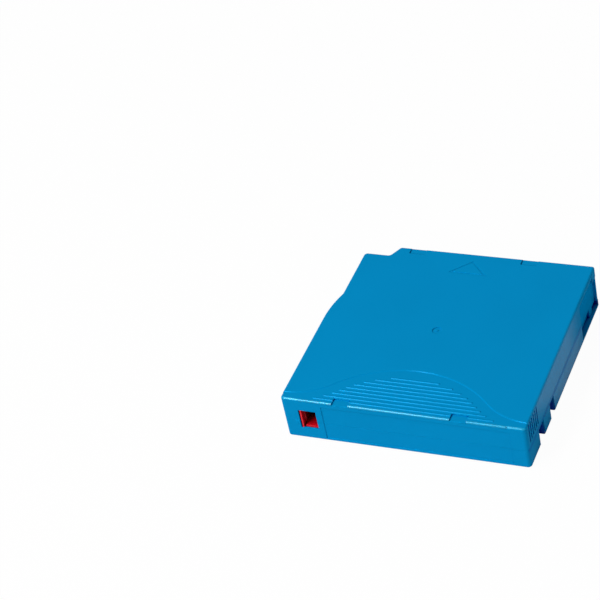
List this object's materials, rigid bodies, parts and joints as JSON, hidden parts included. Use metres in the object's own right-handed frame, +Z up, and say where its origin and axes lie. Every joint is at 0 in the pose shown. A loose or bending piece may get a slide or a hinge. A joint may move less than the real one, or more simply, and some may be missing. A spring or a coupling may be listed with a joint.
{
  "type": "data tape cartridge",
  "caption": "Flat square single-reel data tape cartridge in blue plastic with a ribbed arch, side door, label recess and red write-protect switch.",
  "frame": {"origin": "middle of the underside", "axes": "+Z up through the roof, +X along the label face towards the door side, +Y from the label face towards the leading edge"},
  "size_m": [0.1054, 0.1021, 0.0215],
  "materials": {
    "case_plastic": "satin moulded",
    "door_plastic": "satin moulded",
    "switch_plastic": "satin moulded",
    "reel_plastic": "natural moulded",
    "flange_plastic": "natural moulded",
    "tape": "smooth wound edge",
    "plate_steel": "turned",
    "brake_plastic": "natural moulded",
    "release_plastic": "moulded",
    "spring_steel": "drawn",
    "pin_steel": "ground",
    "clip_plastic": "natural moulded",
    "leader_film": "smooth film",
    "circuit_board": "solder mask",
    "chip_resin": "potted",
    "screw_steel": "plated"
  },
  "bodies": {
    "case": {"top_shell": "case_plastic", "bottom_shell": "case_plastic", "door_spring": "spring_steel", "brake_spring": "spring_steel", "leader_pin": "pin_steel", "leader_clip": "clip_plastic", "tape_leader": "leader_film", "pin_spring": "spring_steel", "memory_board": "circuit_board", "memory_chip": "chip_resin", "case_screw_1": "screw_steel", "case_screw_2": "screw_steel", "case_screw_3": "screw_steel", "case_screw_4": "screw_steel"},
    "door": {"access_door": "door_plastic"},
    "switch": {"write_protect_switch": "switch_plastic"},
    "reel": {"reel_hub": "reel_plastic", "reel_flange": "flange_plastic", "tape_pack": "tape", "drive_plate": "plate_steel"},
    "brake": {"brake_button": "brake_plastic"},
    "release": {"brake_release": "release_plastic"}
  },
  "joints": [
    {"name": "door_slide", "type": "slide", "parent": "case", "child": "door", "axis": [0, -1, 0], "range_m": [0, 0.02], "stiffness_N_per_m": 50, "springref_m": -0.02, "deforming": ["door_spring"]},
    {"name": "write_protect_slide", "type": "slide", "parent": "case", "child": "switch", "axis": [1, 0, 0], "range_m": [0, 0.005]},
    {"name": "reel_spin", "type": "hinge", "parent": "case", "child": "reel", "pos_m": [-0.0012, 0, 0], "axis": [0, 0, 1], "continuous": true},
    {"name": "brake_lift", "type": "slide", "parent": "case", "child": "brake", "axis": [0, 0, 1], "range_m": [0, 0.002], "stiffness_N_per_m": 150, "springref_m": -0.01, "deforming": ["brake_spring"]},
    {"name": "release_lift", "type": "slide", "parent": "reel", "child": "release", "axis": [0, 0, 1], "range_m": [0, 0.002]}
  ],
  "couplings": [
    {"joint": "release_lift", "follows": "brake_lift", "ratio": 1}
  ]
}
